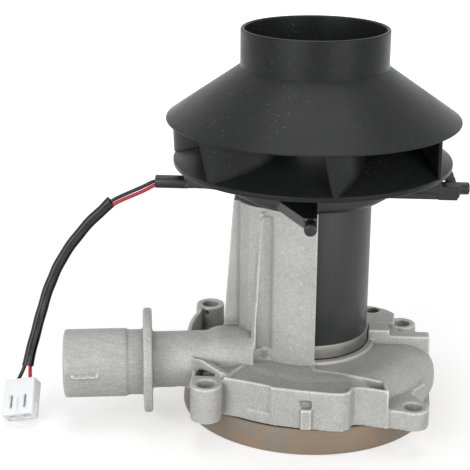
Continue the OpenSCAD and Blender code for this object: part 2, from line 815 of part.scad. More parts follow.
module plug_place() {
    translate(plug_pos) rotate([0, plug_lean, 0]) rotate([plug_tilt, 0, 0]) rotate([0, 0, plug_turn])
        children();
}

module plug_housing() {
    w = plug_size[0];
    d = plug_size[1];
    h = plug_size[2];
    color("#e9ecee") plug_place() difference() {
        union() {
            translate([-w / 2, -d / 2, 0]) linear_extrude(h) polygon([
                [0.4, 0], [w - 0.4, 0], [w, 0.4], [w, d - 0.4], [w - 0.4, d], [0.4, d], [0, d - 0.4], [0, 0.4]
            ]);
            for (x = [-w / 2 - 0.5, w / 2 - 0.5]) translate([x, -0.8, 0.6]) cube([1, 2, 4]);
        }
        for (x = [-way_x, way_x]) {
            translate([x - 1.6, -1.4, -1]) cube([3.2, 3.2, 9]);
            translate([x - 1.1, -1.1, 7]) cube([2.2, 2.2, 10]);
            translate([x - 0.5, -d, 2.4]) cube([1, d, 5.2]);
        }
        translate([-0.6, -d / 2 - 0.5, -1]) cube([1.2, 1.1, 7.6]);
    }
}

module plug_terminals() {
    color("#c8cacc") plug_place() for (x = [-way_x, way_x]) {
        translate([x - 0.9, -0.9, 1.2]) difference() {
            cube([1.8, 1.8, 6]);
            translate([0.3, 0.3, -1]) cube([1.2, 1.2, 5]);
        }
        translate([x, 0, 7.1]) cylinder(d = 1.9, h = 3, $fn = 24);
    }
}

fan_shroud();
fan_blades();
fan_back_plate();
hub_cap();
shaft();
armature_core();
armature_windings();
commutator();
channel_impeller();
impeller_clip();
motor_can();
motor_end_cap();
field_magnets();
upper_bearing();
lower_bearing();
brush_card();
brush_left();
brush_right();
brush_spring_left();
brush_spring_right();
arm_bracket();
bracket_screws();
wire_tube();
seat_ring();
seat_seal();
blower_housing();
bottom_cover();
cover_gasket();
cover_screws();
wire_black();
wire_red();
lead_sleeve();
plug_housing();
plug_terminals();
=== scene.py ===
"""Heater blower: detailed pieces, finishes, studio and camera, laid round the CAD frame."""

import math

import bpy
from bpy.props import FloatProperty, FloatVectorProperty, IntProperty, PointerProperty
from mathutils import Matrix, Vector


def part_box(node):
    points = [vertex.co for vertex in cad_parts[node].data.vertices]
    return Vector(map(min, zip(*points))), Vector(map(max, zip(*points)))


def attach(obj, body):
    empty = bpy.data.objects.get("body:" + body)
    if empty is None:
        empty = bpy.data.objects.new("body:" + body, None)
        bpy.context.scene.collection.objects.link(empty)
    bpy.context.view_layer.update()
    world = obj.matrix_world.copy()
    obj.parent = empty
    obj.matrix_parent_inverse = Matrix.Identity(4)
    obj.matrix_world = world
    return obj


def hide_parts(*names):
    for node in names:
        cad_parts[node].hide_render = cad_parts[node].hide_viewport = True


bl_info = {
    "name": "Heater Blower",
    "version": (1, 0, 0),
    "blender": (4, 5, 0),
    "location": "View3D > Sidebar > Blower",
    "description": "Builds a heater blower's pieces, finishes, studio and camera round its CAD frame",
    "category": "Add Mesh",
}

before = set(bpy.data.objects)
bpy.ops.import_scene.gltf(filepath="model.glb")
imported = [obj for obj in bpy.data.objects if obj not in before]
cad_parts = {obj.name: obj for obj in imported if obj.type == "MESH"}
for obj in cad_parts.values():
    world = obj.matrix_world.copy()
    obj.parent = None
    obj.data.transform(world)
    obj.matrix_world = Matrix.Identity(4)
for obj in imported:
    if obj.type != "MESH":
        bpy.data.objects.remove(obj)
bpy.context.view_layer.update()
MM = 0.001

# Doubled corners closer than this merge, in metres
MERGE = 2e-6

# Lead, in millimetres: the sleeve's middle line, both ends of each wire, and a wire's distance from the line
SLEEVE_ROUTE = [
    (-74, -1.5, 77), (-79.5, -2, 72), (-84.5, -3, 67), (-89.5, -4, 60.5), (-93, -5, 55), (-95.5, -6, 49.5),
    (-98, -7.5, 44), (-100, -9.5, 37), (-101.5, -12, 30.5), (-103, -15.5, 24.5), (-104.5, -19, 17.5),
]
BLACK_START = [(-50, 0, 85.6), (-57.6, 0, 85.5), (-59.2, -0.1, 84.6), (-61.6, -0.3, 83.3),
               (-65.2, -0.5, 81.7), (-70, -1, 79.5)]
RED_START = [(-50, 0, 84.1), (-57.6, 0, 84), (-59, -0.1, 82.95), (-61.2, -0.3, 81.7),
             (-64.8, -0.5, 80.1), (-69, -1, 78.2)]
BLACK_END = [(-106.5, -20.5, 15), (-108, -22.4, 12.2), (-107.9, -24.7, 10.3)]
RED_END = [(-103, -21, 15.3), (-102.8, -23, 13.4), (-102.6, -25.3, 11.4)]
WIRE_SIDE = 0.75

# Wheel, in millimetres: the shroud's rim, neck and roof, then the back plate and its hub
SHROUD_R = 53
NECK_R = 26.5
NECK_FOOT = 129.5
RIM_Z = 111.05
ROOF_Z = 110.25
ROOF_SLOPE = 0.664
PLATE_R = 50.5
PLATE_TOP = 96.05
PLATE_UNDER = 94.25
HUB_R = 12
HUB_CREST = 116.35
FLOOR_SLOPE = (HUB_CREST - PLATE_TOP) / (PLATE_R - HUB_R)

# Turn of the first blade's tip, in degrees
BLADE_START = 278

# Pipe, in millimetres: the way that it runs, the way to its front, its start, and the heights of its axes
PIPE_TURN = math.radians(7.5)
PIPE_ALONG = Vector((-math.cos(PIPE_TURN), -math.sin(PIPE_TURN), 0))
PIPE_OUT = Vector((math.sin(PIPE_TURN), -math.cos(PIPE_TURN), 0))
PIPE_START = Vector((0, -12, 0))
STEM_Z = 23.3
MOUTH_Z = 21.3

# How far along the pipe its stem, collar and mouth begin
STEM_START = 33
COLLAR_START = 57.2
MOUTH_START = 66.4

# The pipe's sizes as shares of the solid's, and how far each axis rises
STEM_SHARE, STEM_RISE = 0.961, -1.2
NECK_SHARE, MOUTH_SHARE = 0.9525, 0.957
COLLAR_SHARE, COLLAR_RISE = 0.964, 0.7


# Sizes and colours that a user would change


def a_length(name, description, default, precision=4):
    """A setting in metres."""
    return FloatProperty(
        name=name, description=description, default=default, unit="LENGTH", precision=precision
    )


def a_colour(name, description, default):
    """A setting that is a colour."""
    return FloatVectorProperty(
        name=name, description=description, default=default, subtype="COLOR", min=0, max=1
    )


def an_angle(name, description, degrees):
    """A setting that is shown in degrees."""
    return FloatProperty(name=name, description=description, default=math.radians(degrees), unit="ROTATION")


def a_power(name, description, watts):
    """A setting in watts."""
    return FloatProperty(name=name, description=description, default=watts, unit="POWER")


class BlowerSizes(bpy.types.PropertyGroup):
    """Sizes of the detailed pieces"""

    wire_diameter: a_length("Wire", "Diameter of one insulated wire", 0.0014)
    sleeve_diameter: a_length("Sleeve", "Diameter of the sleeve over both wires", 0.0043)
    blade_thickness: a_length("Blade", "Thickness of a fan blade", 0.0012)
    blade_count: IntProperty(name="Blades", description="Number of fan blades", default=7, min=3, max=12)
    casting_grid: a_length(
        "Casting grid", "Grid that the casting is drawn on before it is smoothed", 0.00042, 5
    )
    casting_softness: IntProperty(
        name="Casting softness", description="Smoothing steps that round the casting's edges",
        default=4, min=1, max=30,
    )


class BlowerColours(bpy.types.PropertyGroup):
    """Colours of the finishes"""

    wheel: a_colour("Wheel", "Moulded fan wheel", (0.0125, 0.0128, 0.013))
    bracket: a_colour("Bracket", "Moulded arm bracket", (0.0115, 0.0117, 0.0122))
    can: a_colour("Motor can", "Coating of the motor can", (0.028, 0.0282, 0.0288))
    casting: a_colour("Casting", "Die-cast housing", (0.44, 0.44, 0.42))
    cover: a_colour("Bottom cover", "Lacquered bottom cover", (0.235, 0.19, 0.145))
    seat_ring: a_colour("Seat ring", "Turned steel seat ring", (0.36, 0.355, 0.335))
    red_wire: a_colour("Red wire", "Insulation of the red wire", (0.5, 0.012, 0.03))
    plug: a_colour("Plug", "Nylon of the plug", (0.8, 0.81, 0.82))


class BlowerStudio(bpy.types.PropertyGroup):
    """Camera and lamps"""

    lens: FloatProperty(
        name="Lens", description="Focal length on a sensor 36 mm wide", default=97.26, unit="CAMERA"
    )
    camera_place: FloatVectorProperty(
        name="Camera", description="Place of the camera", default=(0, -0.4461, 0.2212),
        subtype="TRANSLATION", unit="LENGTH",
    )
    yaw: an_angle("Yaw", "Turn of the camera to the right", -3.5952)
    pitch: an_angle("Pitch", "Tilt of the camera downwards", 19.2717)
    roll: an_angle("Roll", "Roll of the camera", 0.3191)
    key: a_power("Key", "Power of the lamp at the front left", 8.0)
    fill: a_power("Fill", "Power of the lamp at the front right", 5.8)
    top: a_power("Top", "Power of the lamp above", 4.2)


# Small helpers


def sizes():
    """The settings of sizes."""
    return bpy.context.scene.blower_sizes


def colours():
    """The settings of colours."""
    return bpy.context.scene.blower_colours


def put_down():
    """Object mode with nothing selected."""
    if bpy.context.mode != "OBJECT":
        bpy.ops.object.mode_set(mode="OBJECT")
    bpy.ops.object.select_all(action="DESELECT")


def pick(*pieces):
    """Selects these pieces alone; the last is the active one."""
    put_down()
    for piece in pieces:
        piece.select_set(True)
    bpy.context.view_layer.objects.active = pieces[-1]


def edit(piece):
    """Edit mode on one piece, with all of it selected."""
    pick(piece)
    bpy.ops.object.mode_set(mode="EDIT")
    bpy.ops.mesh.select_all(action="SELECT")


def turn_outward():
    """Points the faces of the piece in edit mode outwards, and leaves edit mode."""
    bpy.ops.mesh.normals_make_consistent(inside=False)
    put_down()


def join(piece, others):
    """Makes other pieces part of this one."""
    pick(*others, piece)
    bpy.ops.object.join()


def named(name):
    """Gives the active object and its mesh a name."""
    piece = bpy.context.active_object
    piece.name = name
    piece.data.name = name
    return piece


def settle(piece):
    """Moves the piece's place, turn and scale into its mesh."""
    pick(piece)
    bpy.ops.object.transform_apply(location=True, rotation=True, scale=True)
    return piece


def modify(piece, kind, **values):
    """Adds a modifier and applies it."""
    pick(piece)
    modifier = piece.modifiers.new(kind.title(), kind)
    for key, value in values.items():
        setattr(modifier, key, value)
    bpy.ops.object.modifier_apply(modifier=modifier.name)


def shade(piece, degrees):
    """Smooth shading, with edges sharper than this angle kept sharp."""
    pick(piece)
    bpy.ops.object.shade_smooth_by_angle(angle=math.radians(degrees))


def keep(piece, body, node):
    """Lets a finished piece ride on its body in place of its CAD node."""
    settle(piece)
    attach(piece, body)
    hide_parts(node)
    return piece


def dress(thing, finish):
    """Gives a piece or a CAD node one finish."""
    thing.data.materials.clear()
    thing.data.materials.append(finish)


def dress_nodes(**finishes):
    """Gives CAD nodes their finishes by name."""
    for node, finish in finishes.items():
        dress(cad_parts[node], finish)


def around(radius, degrees, height):
    """A place by its distance from the fan's axis, its turn about it and its height."""
    turn = math.radians(degrees)
    return Vector((radius * math.cos(turn), radius * math.sin(turn), height))


def traced(name, points, closed=False):
    """Draws a line by pulling one vertex from point to point."""
    put_down()
    bpy.ops.mesh.primitive_plane_add(size=MM)
    piece = named(name)
    bpy.ops.object.mode_set(mode="EDIT")
    bpy.ops.mesh.select_all(action="SELECT")
    bpy.ops.mesh.merge(type="CENTER")
    bpy.ops.transform.translate(value=points[0])
    route = list(points) + ([points[0]] if closed else [])
    for before, after in zip(route, route[1:]):
        step = tuple(b - a for a, b in zip(before, after))
        bpy.ops.mesh.extrude_region_move(TRANSFORM_OT_translate={"value": step})
    if closed:
        bpy.ops.mesh.select_all(action="SELECT")
        bpy.ops.mesh.remove_doubles(threshold=1e-7)
    bpy.ops.object.mode_set(mode="OBJECT")
    return piece


def turned(name, outline, steps):
    """Spins a closed outline of (radius, height), in millimetres, round the fan's axis."""
    piece = traced(name, [(r * MM, 0, z * MM) for r, z in outline], closed=True)
    edit(piece)
    bpy.ops.mesh.spin(steps=steps, angle=math.tau, center=(0, 0, 0), axis=(0, 0, 1))
    bpy.ops.mesh.select_all(action="SELECT")
    bpy.ops.mesh.remove_doubles(threshold=MERGE)
    turn_outward()
    return piece


def softened(outline, radii, steps=5):
    """Rounds the corners of a closed outline by the radii given for its points by number."""
    rounded = []
    count = len(outline)
    for i, corner in enumerate(outline):
        radius = radii.get(i, 0)
        here = Vector(corner)
        if not radius:
            rounded.append(tuple(here))
            continue
        back = (Vector(outline[i - 1]) - here).normalized()
        ahead = (Vector(outline[(i + 1) % count]) - here).normalized()
        half = back.angle(ahead) / 2
        reach = radius / math.tan(half)
        middle = here + (back + ahead).normalized() * (radius / math.sin(half))
        first = here + back * reach - middle
        last = here + ahead * reach - middle
        swing = first.angle_signed(last)
        for k in range(steps + 1):
            turn = -swing * k / steps
            rounded.append(tuple(middle + Matrix.Rotation(turn, 2) @ first))
    return rounded


def copied(node, name):
    """A merged copy of a CAD node, to be worked on as a piece."""
    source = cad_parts[node]
    piece = source.copy()
    piece.data = source.data.copy()
    piece.name = name
    piece.data.name = name
    for key in list(piece.keys()):
        if key.startswith("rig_"):
            del piece[key]
    piece.parent = None
    bpy.context.collection.objects.link(piece)
    piece.data.materials.clear()
    edit(piece)
    bpy.ops.mesh.customdata_custom_splitnormals_clear()
    bpy.ops.mesh.remove_doubles(threshold=MERGE)
    turn_outward()
    return piece


def reshaped(piece, rule):
    """Moves each vertex of a piece by a rule that takes and gives a place in millimetres."""
    for vertex in piece.data.vertices:
        vertex.co = Vector(rule(vertex.co / MM)) * MM
    piece.data.update()


def eased(node, name, width, angle=40, segments=3, rule=None):
    """A copy of a CAD node with its edges rounded, after a rule has corrected its shape."""
    piece = copied(node, name)
    if rule:
        reshaped(piece, rule)
    edit(piece)
    bpy.ops.mesh.dissolve_limited(angle_limit=math.radians(0.6))
    put_down()
    modify(
        piece, "BEVEL", width=width * MM, segments=segments, limit_method="ANGLE",
        angle_limit=math.radians(angle), use_clamp_overlap=True, harden_normals=False,
    )
    shade(piece, 40)
    return piece


def fitted(node, name, finish, slot, body="housing", **rounding):
    """Puts a copy with rounded edges in its CAD node's place."""
    piece = eased(node, name, **rounding)
    dress(piece, finish)
    return keep(piece, body, node)


def block(size, place, turn=0.0):
    """A box of a size at a place, in millimetres, turned in plan."""
    put_down()
    bpy.ops.mesh.primitive_cube_add(size=1, location=Vector(place) * MM, rotation=(0, 0, turn))
    piece = bpy.context.active_object
    piece.scale = Vector(size) * MM
    return settle(piece)


def rod(radius, place, height, turn=(0, 0, 0)):
    """A round bar round a place, in millimetres, upright unless it is turned."""
    put_down()
    bpy.ops.mesh.primitive_cylinder_add(
        vertices=64, radius=radius * MM, depth=height * MM, location=Vector(place) * MM, rotation=turn
    )
    return settle(bpy.context.active_object)


def ramp(value, low, high):
    """Runs smoothly from 0 at low to 1 at high."""
    share = min(1, max(0, (value - low) / (high - low)))
    return share * share * (3 - 2 * share)


def cast(node, name, grid, softness, share, added, cut, rule=None):
    """A soft-edged copy of a CAD node, as cast or moulded, after blocks are cut from it and added to it."""
    piece = copied(node, name)
    for cutter in cut:
        modify(piece, "BOOLEAN", object=cutter, operation="DIFFERENCE", solver="EXACT")
        pick(cutter)
        bpy.ops.object.delete()
    join(piece, added)
    modify(piece, "REMESH", mode="VOXEL", voxel_size=grid, use_smooth_shade=True)
    if rule:
        reshaped(piece, rule)
    modify(piece, "SMOOTH", factor=0.5, iterations=softness)
    # Paints edge highlight and crease shade into a colour attribute, for the finish to read.
    paint_edge_light_and_shade(piece)
    modify(piece, "DECIMATE", decimate_type="COLLAPSE", ratio=share)
    pick(piece)
    bpy.ops.object.shade_smooth()
    return piece


def paint_edge_light_and_shade(piece):
    """Paints light and shade into a colour attribute, from how open or creased the surface is: light on edges
    for a painted highlight, dark in creases for painted shade.
    """
    pick(piece)
    piece.data.color_attributes.new("wear", "FLOAT_COLOR", "POINT")
    piece.data.attributes.active_color = piece.data.color_attributes["wear"]
    bpy.ops.object.mode_set(mode="VERTEX_PAINT")
    bpy.ops.paint.vertex_color_dirt(
        blur_strength=1.0, blur_iterations=2, clean_angle=math.radians(108), dirt_angle=math.radians(72),
        dirt_only=False, normalize=False,
    )
    put_down()


# Finishes


def blank_finish(name):
    """A new material with its tree and its surface shader."""
    finish = bpy.data.materials.new(name)
    finish.use_nodes = True
    return finish, finish.node_tree, finish.node_tree.nodes["Principled BSDF"]


def node_of(tree, kind, **values):
    """Adds a node and sets its options."""
    node = tree.nodes.new(kind)
    for key, value in values.items():
        setattr(node, key, value)
    return node


def millimetres(tree, scale=(1, 1, 1), turn=(0, 0, 0)):
    """Object coordinates in millimetres, scaled or turned for a pattern."""
    place = node_of(tree, "ShaderNodeTexCoord")
    mapping = node_of(tree, "ShaderNodeMapping")
    mapping.inputs["Scale"].default_value = tuple(1000 * s for s in scale)
    mapping.inputs["Rotation"].default_value = turn
    tree.links.new(place.outputs["Object"], mapping.inputs["Vector"])
    return mapping.outputs["Vector"]


def noise(tree, vector, scale, detail=3, roughness=0.5, distortion=0):
    """Noise with so many waves to the millimetre."""
    node = node_of(tree, "ShaderNodeTexNoise")
    node.inputs["Scale"].default_value = scale
    node.inputs["Detail"].default_value = detail
    node.inputs["Roughness"].default_value = roughness
    node.inputs["Distortion"].default_value = distortion
    tree.links.new(vector, node.inputs["Vector"])
    return node.outputs["Fac"]


def spread(tree, value, low, high, to_low=0, to_high=1):
    """Stretches a value from one range to another."""
    node = node_of(tree, "ShaderNodeMapRange")
    for socket, number in zip(("From Min", "From Max", "To Min", "To Max"), (low, high, to_low, to_high)):
        node.inputs[socket].default_value = number
    tree.links.new(value, node.inputs["Value"])
    return node.outputs["Result"]


def rightward(tree):
    """Distance to the right of the fan's axis, in millimetres."""
    parts = node_of(tree, "ShaderNodeSeparateXYZ")
    tree.links.new(millimetres(tree), parts.inputs["Vector"])
    return parts.outputs["X"]


def combined(tree, one, other, operation="MULTIPLY"):
    """Two values put together."""
    node = node_of(tree, "ShaderNodeMath", operation=operation)
    for socket, value in zip(node.inputs, (one, other)):
        if isinstance(value, (int, float)):
            socket.default_value = value
        else:
            tree.links.new(value, socket)
    return node.outputs["Value"]


def mixed(tree, factor, one, other):
    """A colour between two, each a colour or a socket."""
    node = node_of(tree, "ShaderNodeMix", data_type="RGBA")
    for socket, value in zip((node.inputs[0], node.inputs[6], node.inputs[7]), (factor, one, other)):
        if isinstance(value, bpy.types.NodeSocket):
            tree.links.new(value, socket)
        elif isinstance(value, (int, float)):
            socket.default_value = value
        else:
            socket.default_value = (*value[:3], 1)
    return node.outputs[2]


def toned(colour, factor):
    """A colour made darker or lighter."""
    return tuple(min(1, c * factor) for c in colour)


def mottled(tree, pattern, colour, dark, light):
    """A colour that runs from darker to lighter with a pattern."""
    return mixed(tree, pattern, toned(colour, dark), toned(colour, light))


def overlaid(tree, base, pattern, low, high, share, colour):
    """A base with more of a colour over it, up to a share, as a pattern runs from low to high."""
    return mixed(tree, spread(tree, pattern, low, high, 0, share), base, colour)


def coat(tree, shader, base, pattern, smooth, rough):
    """Gives a finish its colour, and a roughness that follows a pattern."""
    tree.links.new(base, shader.inputs["Base Color"])
    tree.links.new(spread(tree, pattern, 0.3, 0.7, smooth, rough), shader.inputs["Roughness"])


def relief(tree, shader, height, depth):
    """Bump of a depth in millimetres, laid over any bump there is."""
    node = node_of(tree, "ShaderNodeBump")
    node.inputs["Distance"].default_value = depth * MM
    tree.links.new(height, node.inputs["Height"])
    target = shader.inputs["Normal"]
    if target.is_linked:
        tree.links.new(target.links[0].from_socket, node.inputs["Normal"])
    tree.links.new(node.outputs["Normal"], target)


def moulded_plastic(name, colour, roughness, dust=0.0, grain=0.012, shine=0.15):
    """Matt moulded plastic: fine spark texture, cloudy gloss and a little dust."""
    finish, tree, shader = blank_finish(name)
    shader.inputs["Specular IOR Level"].default_value = shine
    space = millimetres(tree)
    clouds = noise(tree, space, 0.06, 3, 0.6)
    base = mottled(tree, clouds, colour, 0.88, 1.14)
    if dust:
        specks = node_of(tree, "ShaderNodeTexVoronoi", feature="F1")
        specks.inputs["Scale"].default_value = 0.6
        tree.links.new(space, specks.inputs["Vector"])
        patch = spread(tree, noise(tree, space, 0.05, 2), 0.52, 0.66)
        dot = spread(tree, specks.outputs["Distance"], 0.2, 0.06)
        dots = combined(tree, combined(tree, dot, patch), dust)
        base = mixed(tree, dots, base, (0.32, 0.32, 0.31))
        film = noise(tree, space, 0.5, 4, 0.7)
        base = overlaid(tree, base, film, 0.45, 0.75, 0.02, (0.3, 0.3, 0.29))
    coat(tree, shader, base, clouds, roughness - 0.05, roughness + 0.06)
    relief(tree, shader, noise(tree, space, 3.2, 2, 0.6), grain)
    return finish


def die_cast(name, colour):
    """Die casting with a sandy skin, mottled, with a painted highlight on its edges and painted shade in its
    corners and recesses.
    """
    finish, tree, shader = blank_finish(name)
    space = millimetres(tree)
    broad = noise(tree, space, 0.045, 4, 0.6, 0.4)
    mottle = noise(tree, space, 0.35, 4, 0.65)
    sand = noise(tree, space, 1.7, 3, 0.75)
    base = mottled(tree, spread(tree, broad, 0.3, 0.7), colour, 0.86, 1.1)
    base = overlaid(tree, base, mottle, 0.35, 0.75, 0.35, toned(colour, 0.75))
    base = overlaid(tree, base, sand, 0.47, 0.3, 0.5, toned(colour, 0.5))
    base = overlaid(tree, base, sand, 0.55, 0.72, 0.7, toned(colour, 1.6))
    streaks = noise(tree, millimetres(tree, (0.06, 1, 1), (0, 0, -PIPE_TURN)), 1.1, 3, 0.65)
    mouth = spread(tree, rightward(tree), -58, -64)
    streak = combined(tree, spread(tree, streaks, 0.4, 0.7, 0, 0.5), mouth)
    base = mixed(tree, streak, base, toned(colour, 0.62))
    # Painted highlight on edges and painted shade in creases, read from the colour attribute.
    wear = node_of(tree, "ShaderNodeAttribute", attribute_name="wear").outputs["Fac"]
    base = overlaid(tree, base, wear, 0.12, 0.32, 0.75, toned(colour, 1.9))
    base = overlaid(tree, base, wear, 0.05, 0.015, 0.55, toned(colour, 0.4))
    # Painted shade: recesses and holes darkened by ambient occlusion.
    occlusion_shade = node_of(tree, "ShaderNodeAmbientOcclusion", samples=8, only_local=True)
    occlusion_shade.inputs["Distance"].default_value = 6 * MM
    base = overlaid(tree, base, occlusion_shade.outputs["AO"], 0.7, 0.25, 0.75, toned(colour, 0.2))
    coat(tree, shader, base, mottle, 0.46, 0.6)
    shader.inputs["Metallic"].default_value = 0.22
    relief(tree, shader, sand, 0.15)
    relief(tree, shader, mottle, 0.08)
    return finish


def black_coat(name, colour):
    """Satin black coat on drawn steel, with faint drawing lines along the can."""
    finish, tree, shader = blank_finish(name)
    shader.inputs["Specular IOR Level"].default_value = 0.36
    space = millimetres(tree)
    lines = noise(tree, millimetres(tree, (1, 1, 0.04)), 1.6, 3, 0.6)
    clouds = noise(tree, space, 0.08, 3, 0.6)
    base = mottled(tree, spread(tree, lines, 0.3, 0.7, 0.2, 0.8), colour, 0.9, 1.12)
    base = overlaid(tree, base, clouds, 0.4, 0.8, 0.3, toned(colour, 1.35))
    coat(tree, shader, base, clouds, 0.33, 0.42)
    relief(tree, shader, noise(tree, space, 2.4, 2), 0.006)
    return finish


def turned_metal(name, colour, roughness, lines, metallic=1.0, painted_dark_side=0.0):
    """Metal turned on a lathe about the fan's axis: fine rings, stains and a side darkened by a painted dark
    reflection.
    """
    finish, tree, shader = blank_finish(name)
    cut = noise(tree, millimetres(tree, (0.02, 0.02, 1)), lines, 3, 0.7)
    stains = noise(tree, millimetres(tree), 0.25, 4, 0.6)
    base = mottled(tree, spread(tree, cut, 0.3, 0.7), colour, 0.75, 1.25)
    base = overlaid(tree, base, stains, 0.5, 0.8, 0.4, toned(colour, 0.6))
    # Painted reflection: the right side darkened as if it mirrored dark surroundings.
    if painted_dark_side:
        base = overlaid(tree, base, rightward(tree), 2, 21, painted_dark_side, toned(colour, 0.35))
    coat(tree, shader, base, stains, roughness, roughness + 0.12)
    shader.inputs["Metallic"].default_value = metallic
    relief(tree, shader, cut, 0.02)
    return finish


def lacquered_cover(name, colour):
    """Brown satin lacquer over metal, with faint bands round it and warm patches."""
    finish, tree, shader = blank_finish(name)
    band = noise(tree, millimetres(tree, (0.03, 0.03, 1)), 0.55, 3, 0.6, 0.3)
    patch = noise(tree, millimetres(tree, (1, 1, 1.6)), 0.055, 3, 0.55, 0.8)
    fine = noise(tree, millimetres(tree), 1.3, 3, 0.6)
    warm = (min(1, colour[0] * 1.14), colour[1], colour[2] * 0.88)
    cool = (colour[0] * 0.93, colour[1] * 0.98, colour[2] * 1.04)
    base = mixed(tree, spread(tree, patch, 0.38, 0.66), cool, warm)
    base = overlaid(tree, base, band, 0.35, 0.7, 0.35, toned(colour, 0.7))
    base = overlaid(tree, base, fine, 0.55, 0.8, 0.2, toned(colour, 1.35))
    coat(tree, shader, base, band, 0.34, 0.48)
    shader.inputs["Metallic"].default_value = 0.3
    relief(tree, shader, band, 0.03)
    relief(tree, shader, fine, 0.012)
    return finish


def wire_skin(name, colour, roughness, shine=0.5):
    """Soft insulation with a slight sheen and faint marks from handling."""
    finish, tree, shader = blank_finish(name)
    shader.inputs["Specular IOR Level"].default_value = shine
    space = millimetres(tree)
    marks = noise(tree, space, 0.7, 4, 0.6)
    base = mottled(tree, marks, colour, 0.85, 1.2)
    coat(tree, shader, base, marks, roughness - 0.06, roughness + 0.08)
    relief(tree, shader, noise(tree, space, 1.5, 2), 0.015)
    return finish


def milky_nylon(name, colour):
    """White nylon that lets a little light in."""
    finish, tree, shader = blank_finish(name)
    space = millimetres(tree)
    clouds = noise(tree, space, 0.22, 3, 0.6)
    coat(tree, shader, mottled(tree, clouds, colour, 0.93, 1.04), clouds, 0.26, 0.36)
    shader.inputs["Subsurface Weight"].default_value = 0.8
    shader.inputs["Subsurface Radius"].default_value = (0.9, 1.0, 1.05)
    shader.inputs["Subsurface Scale"].default_value = 0.003
    relief(tree, shader, noise(tree, space, 1.1, 2), 0.01)
    return finish


def plain_metal(name, colour, roughness):
    """Bright metal with fine scratches and dull spots."""
    finish, tree, shader = blank_finish(name)
    spots = noise(tree, millimetres(tree), 0.5, 4, 0.6)
    scratches = noise(tree, millimetres(tree, (1, 0.05, 1), (0.3, 0.5, 0.8)), 2.5, 2, 0.6)
    base = mottled(tree, spots, colour, 0.82, 1.12)
    coat(tree, shader, base, spots, roughness - 0.06, roughness + 0.12)
    shader.inputs["Metallic"].default_value = 1.0
    relief(tree, shader, scratches, 0.012)
    return finish


def layered(tree, shader, colour, dark, light, scale, distortion, depth, turn=(0, 0, 0)):
    """Gives a finish darker and lighter layers along the fan's axis, with a bump."""
    wave = node_of(tree, "ShaderNodeTexWave", bands_direction="Z")
    wave.inputs["Scale"].default_value = scale
    wave.inputs["Distortion"].default_value = distortion
    tree.links.new(millimetres(tree, turn=turn), wave.inputs["Vector"])
    base = mottled(tree, wave.outputs["Fac"], colour, dark, light)
    tree.links.new(base, shader.inputs["Base Color"])
    relief(tree, shader, wave.outputs["Fac"], depth)


def stacked_sheet(name, colour):
    """Sheet steel stacked along the fan's axis."""
    finish, tree, shader = blank_finish(name)
    layered(tree, shader, colour, 0.5, 1.1, 0.63, 0.1, 0.05)
    shader.inputs["Metallic"].default_value = 0.9
    shader.inputs["Roughness"].default_value = 0.42
    return finish


def wound_copper(name, colour):
    """Enamelled wire, turn beside turn."""
    finish, tree, shader = blank_finish(name)
    layered(tree, shader, colour, 0.45, 1.2, 0.75, 0.6, 0.12, turn=(0.4, 0.2, 0))
    shader.inputs["Metallic"].default_value = 0.8
    shader.inputs["Roughness"].default_value = 0.28
    return finish


def dull_solid(name, colour, roughness, grain=0.03):
    """Pressed or moulded solid with a dry grain, such as carbon, ferrite, board or rubber."""
    finish, tree, shader = blank_finish(name)
    grains = noise(tree, millimetres(tree), 1.8, 4, 0.65)
    base = mottled(tree, grains, colour, 0.75, 1.3)
    coat(tree, shader, base, grains, roughness - 0.08, roughness + 0.08)
    relief(tree, shader, grains, grain)
    return finish


# Camera and lead, which come first


class BLOWER_OT_camera(bpy.types.Operator):
    """Place the camera at the photograph's viewing angle"""

    bl_idname = "blower.camera"
    bl_label = "Camera"

    def execute(self, context):
        studio = context.scene.blower_studio
        aim = Matrix.Rotation(-studio.yaw, 3, "Z") @ Matrix.Rotation(math.pi / 2 - studio.pitch, 3, "X")
        aim = aim @ Matrix.Rotation(studio.roll, 3, "Z")
        put_down()
        bpy.ops.object.camera_add(location=studio.camera_place, rotation=aim.to_euler())
        camera = bpy.context.active_object
        camera.name = "camera"
        camera.data.lens = studio.lens
        camera.data.sensor_width = 36
        camera.data.clip_start = 0.01
        context.scene.camera = camera
        return {"FINISHED"}


def headings(route):
    """Direction of a route at each of its points."""
    last = len(route) - 1
    return [(route[min(i + 1, last)] - route[max(i - 1, 0)]).normalized() for i in range(len(route))]


def sides(route):
    """Side direction of a route at each point: to the left and up, square to the run."""
    return [Vector((0, 1, 0)).cross(ahead).normalized() for ahead in headings(route)]


def flowing(route, parts):
    """A smooth line through the points of a route, with so many parts between two points."""
    padded = [route[0] * 2 - route[1], *route, route[-1] * 2 - route[-2]]
    line = []
    for a, b, c, d in zip(padded, padded[1:], padded[2:], padded[3:]):
        for k in range(parts):
            t = k / parts
            straight = b * 2 + (c - a) * t
            bent = (a * 2 - b * 5 + c * 4 - d) * t**2 + (b * 3 - a - c * 3 + d) * t**3
            line.append((straight + bent) / 2)
    line.append(route[-1])
    for _ in range(3 * parts):
        line[1:-1] = [(a + b * 2 + c) / 4 for a, b, c in zip(line, line[1:], line[2:])]
    return line


def wire(name, route, diameter, finish):
    """One insulated wire as a round curve through its route."""
    curve = bpy.data.curves.new(name, "CURVE")
    curve.dimensions = "3D"
    curve.bevel_depth = diameter / 2
    curve.bevel_resolution = 6
    curve.use_fill_caps = True
    line = flowing(route, 4)
    spline = curve.splines.new("POLY")
    spline.points.add(len(line) - 1)
    for point, place in zip(spline.points, line):
        point.co = (*place, 1)
    spline.use_smooth = True
    piece = bpy.data.objects.new(name, curve)
    bpy.context.collection.objects.link(piece)
    dress(piece, finish)
    return piece, sum((b - a).length for a, b in zip(line, line[1:]))


